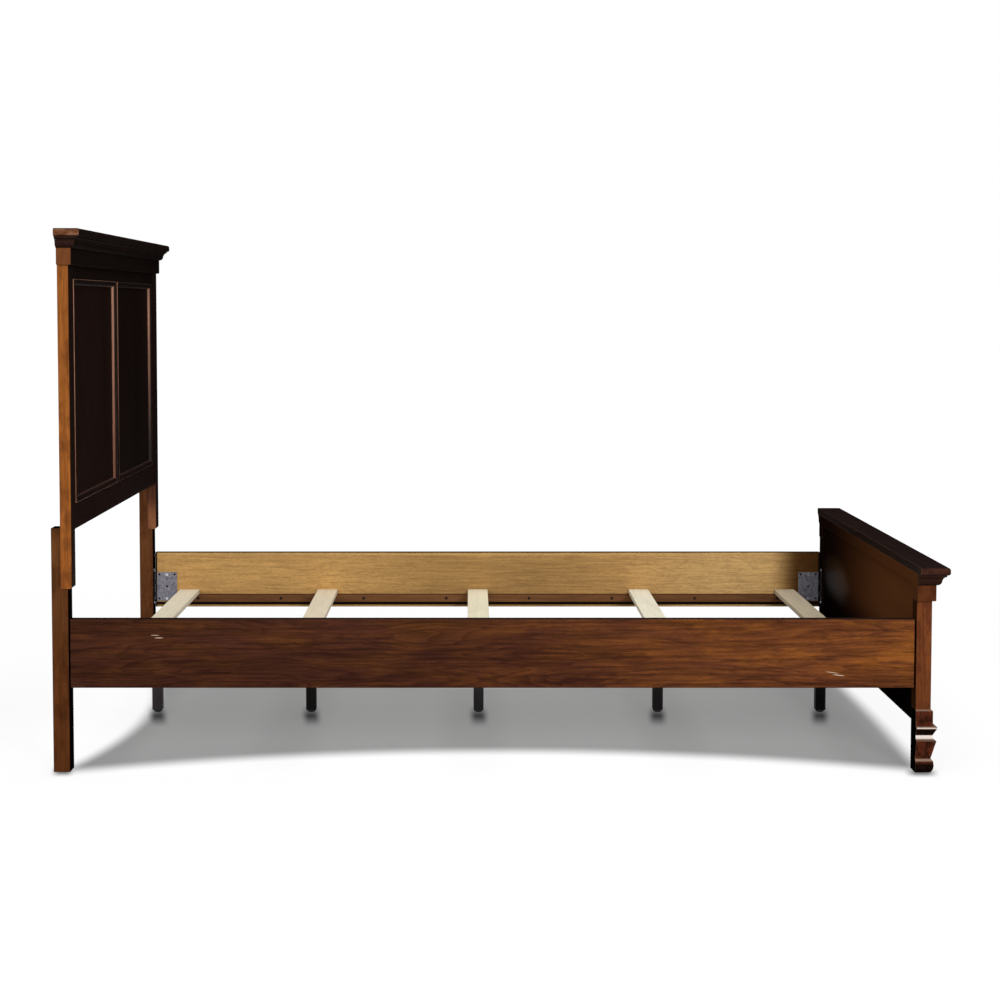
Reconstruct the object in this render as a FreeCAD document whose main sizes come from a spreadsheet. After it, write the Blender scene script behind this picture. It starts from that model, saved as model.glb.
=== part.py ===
import FreeCAD, Part
import os
import re
import Sketcher
from FreeCAD import Placement, Rotation, Vector

# A twin panel bed: headboard at -X, footboard at +X, floor at Z = 0, origin on the floor at the centre.
# Left is +Y, the side on the left hand of someone lying in the bed.

driving_sizes = {
    # side rails
    "rail_length": 1922,
    "rail_height": 158,
    "rail_thickness": 22,
    "rail_bottom": 194,
    "rail_gap": 4,
    "rail_set_back": 3,
    "inside_width": 997,
    # headboard legs, notched at the top to take the posts
    "leg_thickness": 38,
    "leg_width": 40,
    "leg_height": 560,
    "lap_depth": 16,
    # headboard frame
    "head_height": 1238,
    "head_lower_edge": 550,
    "post_thickness": 26,
    "post_width": 38,
    "post_bottom": 422,
    "post_nose": 6,
    "top_rail_height": 31,
    "bottom_rail_height": 61,
    "mullion_width": 24,
    "stile_width": 26,
    "mullion_set_back": 5,
    "mullion_back_set": 3,
    "panel_thickness": 9,
    "panel_set_back": 11.5,
    "groove_depth": 6,
    "groove_clearance": 0.2,
    # cornice of both ends
    "cap_thickness": 18,
    "cap_proud": 25,
    "cap_round": 6,
    "crown_height": 25,
    "crown_toe_proud": 2.5,
    "crown_ovolo_rise": 13,
    "crown_ovolo_proud": 10,
    "crown_ovolo_radius": 12,
    "crown_quirk": 1,
    "crown_cove_rise": 8,
    "crown_cove_radius": 9,
    "crown_fillet_proud": 18.5,
    "frieze_height": 38,
    "frieze_proud": 7,
    "frieze_round": 2.5,
    # bead round the panels
    "bead_width": 14,
    "bead_flat": 4,
    "bead_proud": 1.5,
    "bead_toe": 1.5,
    "bead_radius": 9,
    # eased edges of the frames, rails and legs, and of the slats
    "frame_round": 4,
    "edge_round": 2,
    "slat_round": 1.5,
    # footboard frame
    "foot_end_height": 475,
    "foot_lower_edge": 110,
    "foot_post_thickness": 35,
    "foot_post_width": 38,
    "foot_frieze_height": 37,
    "foot_band_height": 27,
    "foot_panel_recess": 5,
    "foot_top_rail_height": 40,
    "foot_bottom_rail_height": 60,
    # stepped feet of the footboard, from the collar down to the base
    "foot_height": 145,
    "collar_proud": 4,
    "collar_bevel": 3,
    "collar_height": 38,
    "ledge_proud": 12,
    "ledge_thickness": 3,
    "wedge_height": 17,
    "neck_proud": 3.5,
    "neck_height": 6,
    "block_proud": 10.5,
    "block_shoulder": 6.5,
    "block_height": 42,
    "block_toe_proud": 0.5,
    "lip_proud": 5.5,
    "lip_slope": 6,
    "lip_thickness": 3,
    "base_radius": 28,
    # slats and the cleats that carry them
    "slat_width": 57,
    "slat_thickness": 13,
    "slat_clearance": 2,
    "cleat_height": 20,
    "cleat_thickness": 20,
    "cleat_rise": 18,
    "cleat_inset": 70,
    "cleat_screw_inset": 126,
    "cleat_bore_radius": 4.3,
    "cleat_bore_depth": 8,
    "cleat_screw_length": 24,
    # steel hook plates on the rails, and the slotted keepers on the legs and posts
    "plate_length": 57,
    "plate_height": 83,
    "plate_thickness": 2.5,
    "plate_inset": 5,
    "plate_rise": 18,
    "plate_hole_inset": 6.5,
    "plate_hole_radius": 3.2,
    "spare_hole_depth": 12,
    "hook_rise": 12,
    "hook_pitch": 36,
    "hook_neck": 14,
    "hook_drop": 8,
    "hook_reach": 5.5,
    "hook_clearance": 0.3,
    "keeper_thickness": 3,
    "keeper_width": 14,
    "keeper_margin": 10,
    "keeper_screw_inset": 5,
    # fasteners
    "screw_radius": 2,
    "screw_length": 16,
    "screw_head_radius": 4,
    "screw_head_height": 2.2,
    "bolt_radius": 4,
    "bolt_length": 35,
    "bolt_head_corner": 7.5,
    "bolt_head_height": 5,
    "bolt_bore_radius": 11,
    "bolt_bore_depth": 7,
    "bolt_inset": 38,
    "washer_radius": 9,
    "washer_thickness": 1.5,
    "dowel_radius": 4,
    "dowel_length": 38,
    "bottom_dowel_inset": 15,
    "fit_clearance": 0.05,
    # support legs, the bolts through the slats, and the screw glides
    "support_side": 26,
    "support_chamfer": 3,
    "support_gap": 18,
    "insert_radius": 6,
    "insert_length": 13,
    "thread_clearance": 0.1,
    "slat_bolt_length": 30,
    "slat_bolt_head_radius": 7.5,
    "slat_bolt_head_height": 4,
    "stem_radius": 4,
    "stem_length": 30,
    "stem_chamfer": 1,
    "stem_room": 3,
    "flange_radius": 6,
    "flange_height": 2.4,
    "pad_radius": 11.5,
    "pad_toe_radius": 7,
    "pad_dome_radius": 7,
    "pad_dome_rise": 4,
    "pad_height": 6.7,
    "pad_floor": 2.4,
    "run_clearance": 0.1,
    "overrun": 5,
}

derived_sizes = {
    # along the bed
    "overall_length": "leg_thickness + 2 * rail_gap + rail_length + foot_post_thickness"
                      " + frieze_proud + cap_proud",
    "leg_back": "-overall_length / 2",
    "leg_front": "leg_back + leg_thickness",
    "post_back": "leg_front - lap_depth",
    "post_front": "post_back + post_thickness",
    "frieze_front": "post_front + frieze_proud",
    "cap_front": "frieze_front + cap_proud",
    "rail_start": "leg_front + rail_gap",
    "rail_middle": "rail_start + rail_length / 2",
    "foot_inner": "rail_start + rail_length + rail_gap",
    "foot_outer": "foot_inner + foot_post_thickness",
    "foot_frieze_front": "foot_outer + frieze_proud",
    "foot_cap_front": "foot_frieze_front + cap_proud",
    "mullion_front": "post_front - mullion_set_back",
    "panel_front": "post_front - panel_set_back",
    "foot_panel_inner": "foot_inner + foot_panel_recess",
    "foot_panel_outer": "foot_outer - panel_set_back",
    "foot_mullion_front": "foot_outer - mullion_set_back",
    "post_middle_x": "post_back + post_thickness / 2",
    "foot_middle_x": "foot_inner + foot_post_thickness / 2",
    # across the bed
    "rail_inner": "inside_width / 2",
    "rail_outer": "rail_inner + rail_thickness",
    "post_outer": "rail_outer + rail_set_back",
    "post_inner": "post_outer - post_width",
    "stile_inner": "post_inner - stile_width",
    "foot_post_inner": "post_outer - foot_post_width",
    "leg_inner": "rail_outer - leg_width",
    "post_middle_y": "post_outer - post_width / 2",
    "post_dowel_y": "post_outer - post_width / 4",
    "foot_middle_y": "post_outer - foot_post_width / 2",
    "frieze_end": "post_outer + frieze_proud",
    "cap_end": "frieze_end + cap_proud",
    "mullion_half": "mullion_width / 2",
    # up from the floor
    "head_cap_low": "head_height - cap_thickness",
    "head_frieze_low": "head_cap_low - crown_height - frieze_height",
    "opening_high": "head_frieze_low - top_rail_height",
    "opening_low": "head_lower_edge + bottom_rail_height",
    "foot_cap_low": "foot_end_height - cap_thickness",
    "foot_frieze_low": "foot_cap_low - crown_height - foot_frieze_height",
    "foot_panel_high": "foot_cap_low - foot_band_height",
    "foot_opening_high": "foot_frieze_low - foot_top_rail_height",
    "foot_opening_low": "foot_lower_edge + foot_bottom_rail_height",
    "cleat_low": "rail_bottom + cleat_rise",
    "slat_low": "cleat_low + cleat_height",
    "plate_low": "rail_bottom + plate_rise",
    "lower_hook": "plate_low + hook_rise",
    "upper_hook": "lower_hook + hook_pitch",
    "keeper_back": "leg_front - keeper_thickness",
    "keeper_low": "plate_low - keeper_margin",
    "keeper_height": "plate_height + 2 * keeper_margin",
    "pad_low": "support_gap - pad_height - hook_clearance",
    # heights on the stepped feet
    "ledge_high": "foot_height - collar_height",
    "wedge_high": "ledge_high - ledge_thickness",
    "neck_high": "wedge_high - wedge_height",
    "block_top": "neck_high - neck_height",
    "block_high": "block_top - block_shoulder",
    "block_low": "block_high - block_height",
    "lip_high": "block_low - lip_slope",
    "lip_low": "lip_high - lip_thickness",
}

# Places of the slats along the rails, as shares of the rail length
slat_shares = (0.0514, 0.259, 0.485, 0.727, 0.9466)
cleat_screw_count = 8
hex_sides = 6
full_turn = 360
quarter_turn = 90

doc = FreeCAD.newDocument("panel_bed")
sheet = doc.addObject("Spreadsheet::Sheet", "bed")
nodes = []


def fill_sheet():
    row = 0
    for name, size in list(driving_sizes.items()) + list(derived_sizes.items()):
        row += 1
        text = "=" + size if name in derived_sizes else str(size)
        sheet.set(f"A{row}", name)
        sheet.set(f"B{row}", text)
        sheet.setAlias(f"B{row}", name)
    doc.recompute()


def formula(text):
    # Names of the sheet get its prefix, so that other objects can read them
    known = lambda found: "bed." + found.group() if found.group() in names else found.group()
    return re.sub(r"[a-z_]+", known, text)


def number(text):
    return float(sheet.evalExpression(formula(text)))


def bind(piece, **sizes):
    for size, text in sizes.items():
        piece.setExpression(size, formula(text))


def seat(piece, place):
    for axis, text in zip("xyz", place):
        piece.setExpression("Placement.Base." + axis, formula(text))


def node(piece, label):
    piece.Label = label
    nodes.append(piece)
    return piece


def bent_run(first, last, radius, outward):
    # An arc between two corners, bulging out of the outline or hollowed into it
    chord = last - first
    reach = (radius ** 2 - (chord.Length / 2) ** 2) ** 0.5
    inward = Vector(-chord.y, chord.x, 0).normalize()
    centre = (first + last) / 2 + inward * reach * (1 if outward else -1)
    circle = Part.Circle(centre, Vector(0, 0, 1), radius)
    start, end = (first, last) if outward else (last, first)
    return Part.ArcOfCircle(circle, circle.parameter(start), circle.parameter(end))


def draw(sketch, corners):
    # A closed outline, anticlockwise. A corner is (across, up), or (across, up, radius, outward)
    # where the run to the next corner is an arc.
    base = sketch.GeometryCount
    points = [Vector(number(corner[0]), number(corner[1]), 0) for corner in corners]
    ends = []
    for index, corner in enumerate(corners):
        first, last = points[index], points[(index + 1) % len(points)]
        outward = len(corner) == 2 or corner[3]
        if len(corner) == 2:
            sketch.addGeometry(Part.LineSegment(first, last), False)
        else:
            sketch.addGeometry(bent_run(first, last, number(corner[2]), outward), False)
        ends.append((1, 2) if outward else (2, 1))
    for index, corner in enumerate(corners):
        run, following = base + index, (index + 1) % len(corners)
        sketch.addConstraint(Sketcher.Constraint("Coincident", run, ends[index][1],
                                                 base + following, ends[following][0]))
        hold(sketch, "DistanceX", corner[0], run, ends[index][0])
        hold(sketch, "DistanceY", corner[1], run, ends[index][0])
        if len(corner) > 2:
            hold(sketch, "Radius", corner[2], run)


def draw_hole(sketch, across, up, radius):
    spot = Vector(number(across), number(up), 0)
    run = sketch.addGeometry(Part.Circle(spot, Vector(0, 0, 1), number(radius)), False)
    hold(sketch, "DistanceX", across, run, 3)
    hold(sketch, "DistanceY", up, run, 3)
    hold(sketch, "Radius", radius, run)


def hold(sketch, kind, text, *place):
    mark = sketch.addConstraint(Sketcher.Constraint(kind, *place, number(text)))
    sketch.setExpression(f"Constraints[{mark}]", formula(text))


def sketch_on(body, plane, name):
    sketch = body.newObject("Sketcher::SketchObject", name)
    support = next(item for item in body.Origin.OriginFeatures if item.Role == plane + "_Plane")
    sketch.AttachmentSupport = (support, [""])
    sketch.MapMode = "FlatFace"
    return sketch


def prism(name, plane, corners, start, length, holes=()):
    # An outline drawn across an axis and carried along it from start
    body = doc.addObject("PartDesign::Body", name)
    sketch = sketch_on(body, plane, name + "_outline")
    draw(sketch, corners)
    for hole in holes:
        draw_hole(sketch, *hole)
    offset = f"-({start}) - ({length})" if plane == "XZ" else start
    sketch.setExpression("AttachmentOffset.Base.z", formula(offset))
    solid = body.newObject("PartDesign::Pad", name + "_pad")
    solid.Profile = sketch
    bind(solid, Length=length)
    return body


def turned(name, corners):
    # An outline of radii and heights, turned round the upright axis
    body = doc.addObject("PartDesign::Body", name)
    sketch = sketch_on(body, "XZ", name + "_outline")
    draw(sketch, corners)
    solid = body.newObject("PartDesign::Revolution", name + "_turning")
    solid.Profile = sketch
    solid.ReferenceAxis = (sketch, ["V_Axis"])
    solid.Angle = full_turn
    return body


def rectangle(left, low, right, high, radius="0", rounded=""):
    # Corners a to d run anticlockwise from the lower left; the named ones are rounded
    steps = {"a": (left, low, 0, 1, 1, 0), "b": (right, low, -1, 0, 0, 1),
             "c": (right, high, 0, -1, -1, 0), "d": (left, high, 1, 0, 0, -1)}
    outline = []
    for corner, (across, up, *shift) in steps.items():
        if corner not in rounded:
            outline.append((across, up))
            continue
        moved = [f"({place}) + ({radius}) * ({step})" for place, step in
                 zip((across, up, across, up), shift)]
        outline += [(moved[0], moved[1], radius, True), (moved[2], moved[3])]
    return outline


def board(name, low, size):
    piece = doc.addObject("Part::Box", name)
    bind(piece, Length=size[0], Width=size[1], Height=size[2])
    seat(piece, low)
    return piece


def shared(name, first, second):
    piece = doc.addObject("Part::Common", name)
    piece.Base = first
    piece.Tool = second
    return piece


def cut(name, piece, *tools):
    for index, tool in enumerate(tools):
        result = doc.addObject("Part::Cut", f"{name}_cut_{index}")
        result.Base = piece
        result.Tool = tool
        piece = result
    return piece


def group(name, pieces):
    bundle = doc.addObject("Part::Compound", name)
    bundle.Links = pieces
    return bundle


def mirrored(name, piece, normal, **about):
    twin = doc.addObject("Part::Mirroring", name)
    twin.Source = piece
    twin.Normal = normal
    for axis, text in about.items():
        twin.setExpression("Base." + axis, formula(text))
    return twin


def other_side(name, piece):
    return mirrored(name, piece, Vector(0, 1, 0))


def other_end(name, piece):
    return mirrored(name, piece, Vector(1, 0, 0), x="rail_middle")


def both_sides(name, piece):
    # The left piece and its twin on the right, as two nodes
    node(piece, name + "_left")
    node(other_side(name + "_right", piece), name + "_right")


def copies(name, master, places, turn=None):
    # The same piece at several places
    twins = []
    for index, place in enumerate(places):
        twin = doc.addObject("App::Link", f"{name}_{index}")
        twin.LinkedObject = master
        twin.Placement = Placement(Vector(), turn or Rotation())
        seat(twin, place)
        twins.append(twin)
    return group(name, twins)


# Turns that lay an upright fastener, head up, along another axis
head_inward_y = Rotation(Vector(1, 0, 0), quarter_turn)
head_forward = Rotation(Vector(0, 1, 0), quarter_turn)
head_backward = Rotation(Vector(0, 1, 0), -quarter_turn)


def pin(name, radius, length):
    return turned(name, [("0", f"-({length}) / 2"), (radius, f"-({length}) / 2"),
                         (radius, f"({length}) / 2"), ("0", f"({length}) / 2")])


def stepped_pin(name, radius, length, head_radius, head_height):
    # A head above zero and a shank below it
    return turned(name, [("0", f"-({length})"), (radius, f"-({length})"), (radius, "0"),
                         (head_radius, "0"), (head_radius, head_height), ("0", head_height)])


def make_fastener_masters():
    masters = {}
    masters["screw"] = stepped_pin("screw_master", "screw_radius", "screw_length",
                                   "screw_head_radius", "screw_head_height")
    masters["screw_hole"] = stepped_pin(
        "screw_hole_master", "screw_radius + fit_clearance", "screw_length + fit_clearance",
        "screw_radius + 2 * fit_clearance", "overrun")
    masters["cleat_screw"] = stepped_pin("cleat_screw_master", "screw_radius", "cleat_screw_length",
                                         "screw_head_radius", "screw_head_height")
    masters["cleat_hole"] = stepped_pin(
        "cleat_hole_master", "screw_radius + fit_clearance", "cleat_screw_length + fit_clearance",
        "cleat_bore_radius", "cleat_bore_depth + overrun")
    masters["spare_hole"] = pin("spare_hole_master", "plate_hole_radius", "2 * spare_hole_depth")
    masters["dowel"] = pin("dowel_master", "dowel_radius", "dowel_length")
    masters["dowel_hole"] = pin("dowel_hole_master", "dowel_radius + fit_clearance",
                                "dowel_length + 2 * fit_clearance")
    masters["bolt"] = make_leg_bolt()
    masters["bolt_hole"] = stepped_pin("bolt_hole_master", "bolt_radius + fit_clearance",
                                       "bolt_length + fit_clearance", "bolt_bore_radius",
                                       "bolt_bore_depth + overrun")
    masters["insert"] = turned("insert_master", rectangle("stem_radius + thread_clearance", "0",
                                                          "insert_radius", "insert_length"))
    return masters


def make_leg_bolt():
    # Shank and washer turned, then the six-sided head
    body = stepped_pin("bolt_master", "bolt_radius", "bolt_length", "washer_radius", "washer_thickness")
    sketch = sketch_on(body, "XY", "bolt_head_outline")
    step = full_turn // hex_sides
    draw(sketch, [(f"bolt_head_corner * cos({turn})", f"bolt_head_corner * sin({turn})")
                  for turn in range(0, full_turn, step)])
    head = body.newObject("PartDesign::Pad", "bolt_head_pad")
    head.Profile = sketch
    bind(head, Length="washer_thickness + bolt_head_height")
    return body


def wrapped(name, front_outline, end_outline):
    # A shape worked along the front and both ends alike: what two long prisms share
    across, along = "2 * (cap_end + overrun)", "overall_length + 2 * overrun"
    lengthwise = prism(name + "_front", "XZ", front_outline, f"-({across}) / 2", across)
    endwise = prism(name + "_end", "YZ", end_outline, f"-({along}) / 2", along)
    return shared(name + "_wrap", lengthwise, endwise)


def make_cap(label, back, front, low):
    high = f"{low} + cap_thickness"
    piece = wrapped(label, rectangle(back, low, front, high, "cap_round", "bc"),
                    rectangle("-cap_end", low, "cap_end", high, "cap_round", "abcd"))
    node(piece, label)


def crown_run(face, low):
    # The worked side of the crown moulding, from its toe up to the cap
    ovolo_high = f"{low} + crown_ovolo_rise"
    cove_high = f"{ovolo_high} + crown_cove_rise"
    return [
        (f"{face} + crown_toe_proud", low, "crown_ovolo_radius", True),
        (f"{face} + crown_ovolo_proud", ovolo_high),
        (f"{face} + crown_ovolo_proud + crown_quirk", ovolo_high, "crown_cove_radius", False),
        (f"{face} + crown_fillet_proud - crown_quirk", cove_high),
        (f"{face} + crown_fillet_proud", cove_high),
        (f"{face} + crown_fillet_proud", f"{low} + crown_height"),
    ]


def flipped(run):
    # The same run on the other side of the middle, in the order that keeps it anticlockwise
    turned_run = []
    for index in range(len(run) - 1, -1, -1):
        bend = run[index - 1][2:] if index else ()
        turned_run.append((f"-({run[index][0]})", run[index][1]) + tuple(bend))
    return turned_run


def make_crown(label, back, front, low):
    high = f"{low} + crown_height"
    end_run = crown_run("frieze_end", low)
    whole = wrapped(label, [(back, low)] + crown_run(front, low) + [(back, high)],
                    end_run + flipped(end_run))
    reach = "cap_proud + overrun"
    far, wide = f"{front} + {reach}", f"frieze_end + {reach}"
    front_wedge = prism(label + "_front_wedge", "XY",
                        [(front, "-frieze_end"), (far, f"-({wide})"), (far, wide), (front, "frieze_end")],
                        low, "crown_height")
    end_wedge = prism(label + "_end_wedge", "XY",
                      [(back, "frieze_end"), (front, "frieze_end"), (far, wide), (back, wide)],
                      low, "crown_height")
    length = shared(label + "_front_length", whole, front_wedge)
    left = shared(label + "_return_left", whole, end_wedge)
    right = other_side(label + "_return_right", left)
    node(group(label + "_lengths", [length, left, right]), label)


def make_bead(label, face, left, right, low, high):
    # Four mitred lengths round an opening, thin towards the panel: left is the smaller Y
    rise = "panel_set_back - mullion_set_back + bead_proud"
    top = f"{face} + {rise}"

    def run(edge):
        return [(face, edge), (top, edge), (top, f"{edge} + bead_flat", "bead_radius", True),
                (f"{face} + bead_toe", f"{edge} + bead_width"), (face, f"{edge} + bead_width")]

    upright = prism(label + "_upright", "XY", run(left), low, f"{high} - ({low})")
    level = prism(label + "_level", "XZ", run(low), left, f"{right} - ({left})")
    upright_wedge = prism(label + "_upright_wedge", "YZ",
                          [(left, low), (f"{left} + bead_width", f"{low} + bead_width"),
                           (f"{left} + bead_width", f"{high} - bead_width"), (left, high)], face, rise)
    level_wedge = prism(label + "_level_wedge", "YZ",
                        [(left, low), (right, low), (f"{right} - bead_width", f"{low} + bead_width"),
                         (f"{left} + bead_width", f"{low} + bead_width")], face, rise)
    near = shared(label + "_near", upright, upright_wedge)
    bottom = shared(label + "_bottom", level, level_wedge)
    far = mirrored(label + "_far", near, Vector(0, 1, 0), y=f"({left} + {right}) / 2")
    over = mirrored(label + "_over", bottom, Vector(0, 0, 1), z=f"({low} + {high}) / 2")
    both_sides(label, group(label + "_lengths", [near, far, bottom, over]))


def make_headboard(masters):
    make_cap("headboard_cap", "post_back", "cap_front", "head_cap_low")
    make_crown("headboard_crown", "post_back", "frieze_front", "head_cap_low - crown_height")

    posts_x = "post_middle_x"
    rows = ["head_lower_edge + bottom_dowel_inset", "opening_low - groove_depth - bottom_dowel_inset",
            "head_frieze_low - top_rail_height / 2 + groove_depth / 2"]
    upright = [(posts_x, "post_dowel_y", "head_frieze_low"), (posts_x, "-post_dowel_y", "head_frieze_low"),
               ("mullion_front - dowel_radius * 2", "0", "opening_low"),
               ("mullion_front - dowel_radius * 2", "0", "opening_high")]
    level = [(posts_x, side, row) for side in ("post_inner", "-post_inner") for row in rows]
    dowels = [copies("head_upright_dowels", masters["dowel"], upright),
              copies("head_level_dowels", masters["dowel"], level, head_inward_y)]
    holes = [copies("head_upright_holes", masters["dowel_hole"], upright),
             copies("head_level_holes", masters["dowel_hole"], level, head_inward_y)]

    frieze = prism("head_frieze_beam", "XZ",
                   rectangle("post_back", "head_frieze_low", "frieze_front", "head_cap_low",
                             "frieze_round", "b"), "-frieze_end", "2 * frieze_end")
    node(cut("head_frieze", frieze, holes[0]), "headboard_frieze")

    reach = "groove_depth"
    low = ("panel_front - panel_thickness", f"mullion_half - {reach}", f"opening_low - {reach}")
    size = ("panel_thickness", f"stile_inner - mullion_half + 2 * {reach}",
            f"opening_high - opening_low + 2 * {reach}")
    panel = board("head_panel", low, size)
    groove = board("head_groove", [f"{place} - groove_clearance" for place in low],
                   [f"{span} + 2 * groove_clearance" for span in size])
    grooves = group("head_grooves", [groove, other_side("head_groove_right", groove)])
    both_sides("headboard_panel", panel)
    make_bead("headboard_bead", "panel_front", "mullion_half", "stile_inner", "opening_low", "opening_high")

    span = "2 * post_inner"
    top = prism("head_top_rail", "XZ",
                rectangle("post_back", "opening_high", "mullion_front", "head_frieze_low",
                          "frame_round", "b"), "-post_inner", span)
    bottom = prism("head_bottom_rail", "XZ",
                   rectangle("post_back", "head_lower_edge", "mullion_front", "opening_low",
                             "frame_round", "bc"), "-post_inner", span)
    mullion = prism("head_mullion", "XY",
                    rectangle("post_back + mullion_back_set", "-mullion_half", "mullion_front",
                              "mullion_half", "edge_round", "bc"),
                    "opening_low", "opening_high - opening_low")
    node(cut("head_top_rail", top, grooves, *holes), "headboard_top_rail")
    node(cut("head_bottom_rail", bottom, grooves, *holes), "headboard_bottom_rail")
    node(cut("head_mullion", mullion, grooves, holes[0]), "headboard_mullion")
    blank = board("head_stile_blank", ("post_back + mullion_back_set", "stile_inner", "opening_low"),
                  ("mullion_front - post_back - mullion_back_set", "stile_width",
                   "opening_high - opening_low"))
    stile = cut("head_stile", blank, groove)
    node(group("head_stiles", [stile, other_side("head_stile_right", stile)]), "headboard_stiles")

    bolt_seat = "leg_back + bolt_bore_depth"
    bolt_places = [(bolt_seat, "post_middle_y", "post_bottom + bolt_inset"),
                   (bolt_seat, "post_middle_y", "leg_height - bolt_inset")]
    bolts = copies("leg_bolts", masters["bolt"], bolt_places, head_backward)
    bolt_holes = copies("leg_bolt_holes", masters["bolt_hole"], bolt_places, head_backward)
    section = prism("head_post_section", "XY",
                    rectangle("post_back", "post_inner", "post_front", "post_outer", "frame_round", "bc"),
                    "post_bottom", "head_frieze_low - post_bottom")
    nose = prism("head_post_nose", "XZ",
                 rectangle("post_back", "post_bottom", "post_front", "head_frieze_low", "post_nose", "b"),
                 "post_inner", "post_width")
    post = cut("head_post", shared("head_post_shape", section, nose), bolt_holes, *holes)
    both_sides("headboard_post", post)

    blank = prism("head_leg_blank", "XY", rectangle("leg_back", "leg_inner", "leg_front", "rail_outer",
                                                    "edge_round", "abcd"), "0", "leg_height")
    lap = board("head_leg_lap", ("post_back", "leg_inner - overrun", "post_bottom"),
                ("lap_depth + overrun", "leg_width + 2 * overrun", "leg_height - post_bottom + overrun"))
    sockets = make_hook_sockets("head", masters)
    both_sides("headboard_leg", cut("head_leg", blank, lap, bolt_holes, *sockets))
    node(group("head_leg_bolts", [bolts, other_side("leg_bolts_right", bolts)]), "headboard_leg_bolts")
    return dowels


def make_hook_sockets(name, masters):
    # What a rail joint takes out of a headboard leg: the keeper's recess, room behind it, screw holes
    rooms = []
    for hook in ("lower_hook", "upper_hook"):
        low = ("keeper_back - hook_reach - hook_clearance", "rail_inner - plate_thickness - hook_clearance",
               f"{hook} - hook_drop - hook_clearance")
        size = ("keeper_thickness + hook_reach + hook_clearance + overrun",
                "plate_thickness + 2 * hook_clearance", "hook_neck + 2 * hook_drop + 2 * hook_clearance")
        rooms.append(board(f"{name}_{hook}_room", low, size))
    seat_low = ("keeper_back", "rail_inner - keeper_width / 2 - groove_clearance",
                "keeper_low - groove_clearance")
    seat_size = ("keeper_thickness + overrun", "keeper_width + 2 * groove_clearance",
                 "keeper_height + 2 * groove_clearance")
    recess = board(f"{name}_keeper_recess", seat_low, seat_size)
    screws = copies(f"{name}_keeper_holes", masters["screw_hole"], keeper_screw_places(), head_forward)
    return recess, group(f"{name}_hook_rooms", rooms), screws


def keeper_screw_places():
    return [("leg_front", "rail_inner", "keeper_low + keeper_screw_inset"),
            ("leg_front", "rail_inner", "keeper_low + keeper_height - keeper_screw_inset")]


def foot_run(face):
    # The stepped outer side of a foot, from the floor up to the collar
    return [
        (f"{face} + block_toe_proud", "0", "base_radius", True),
        (f"{face} + lip_proud", "lip_low"),
        (f"{face} + lip_proud", "lip_high"),
        (f"{face} + block_toe_proud", "block_low"),
        (f"{face} + block_proud", "block_high"),
        (f"{face} + neck_proud", "block_top"),
        (f"{face} + neck_proud", "neck_high"),
        (f"{face} + ledge_proud", "wedge_high"),
        (f"{face} + ledge_proud", "ledge_high"),
        (f"{face} + collar_proud", "ledge_high"),
        (f"{face} + collar_proud", "foot_height - collar_bevel"),
        (f"{face} + collar_proud - collar_bevel", "foot_height"),
    ]


def make_footboard(masters):
    make_cap("footboard_cap", "foot_inner", "foot_cap_front", "foot_cap_low")
    make_crown("footboard_crown", "foot_inner", "foot_frieze_front", "foot_cap_low - crown_height")

    places = [("foot_middle_x", side, row) for side in ("foot_middle_y", "-foot_middle_y")
              for row in ("foot_height", "foot_frieze_low")]
    dowels = copies("foot_dowels", masters["dowel"], places)
    holes = copies("foot_dowel_holes", masters["dowel_hole"], places)

    reach = "foot_post_inner + groove_depth"
    low = ("foot_panel_inner", f"-({reach})", "foot_lower_edge")
    size = ("foot_panel_outer - foot_panel_inner", f"2 * ({reach})", "foot_panel_high - foot_lower_edge")
    panel = board("foot_panel", low, size)
    groove = board("foot_groove", [f"{place} - groove_clearance" for place in low],
                   [f"{span} + 2 * groove_clearance" for span in size])
    recess = board("foot_recess", ("foot_inner - overrun", "-foot_post_inner", "foot_frieze_low - overrun"),
                   ("foot_panel_recess + overrun", "2 * foot_post_inner",
                    "foot_panel_high - foot_frieze_low + overrun"))
    node(panel, "footboard_inner_panel")

    beam = prism("foot_frieze_beam", "XZ", rectangle("foot_inner", "foot_frieze_low", "foot_frieze_front",
                                                     "foot_cap_low", "frieze_round", "b"),
                 "-frieze_end", "2 * frieze_end")
    node(cut("foot_frieze", beam, recess, groove, holes), "footboard_frieze")

    span = "2 * foot_post_inner"
    node(prism("foot_top_rail", "XZ",
               rectangle("foot_panel_outer", "foot_opening_high", "foot_mullion_front", "foot_frieze_low",
                         "frame_round", "b"), "-foot_post_inner", span), "footboard_top_rail")
    node(prism("foot_bottom_rail", "XZ",
               rectangle("foot_panel_outer", "foot_lower_edge", "foot_mullion_front", "foot_opening_low",
                         "frame_round", "bc"), "-foot_post_inner", span), "footboard_bottom_rail")
    node(prism("foot_mullion", "XY", rectangle("foot_panel_outer", "-mullion_half", "foot_mullion_front",
                                               "mullion_half", "edge_round", "bc"),
               "foot_opening_low", "foot_opening_high - foot_opening_low"), "footboard_mullion")
    make_bead("footboard_bead", "foot_panel_outer", "mullion_half", "foot_post_inner",
              "foot_opening_low", "foot_opening_high")

    section = prism("foot_post_section", "XY", rectangle("foot_inner", "foot_post_inner", "foot_outer",
                                                         "post_outer", "edge_round", "abcd"),
                    "foot_height", "foot_frieze_low - foot_height")
    sockets = [other_end(f"foot_socket_{index}", tool)
               for index, tool in enumerate(make_hook_sockets("foot", masters))]
    both_sides("footboard_post", cut("foot_post", section, groove, holes, *sockets))

    inner_x, inner_y = "foot_inner", "foot_post_inner"
    foot = wrapped("foot_block", [(inner_x, "0")] + foot_run("foot_outer") + [(inner_x, "foot_height")],
                   [(inner_y, "0")] + foot_run("post_outer") + [(inner_y, "foot_height")])
    both_sides("footboard_foot", cut("foot_block", foot, groove, holes))
    return [dowels]


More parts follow.
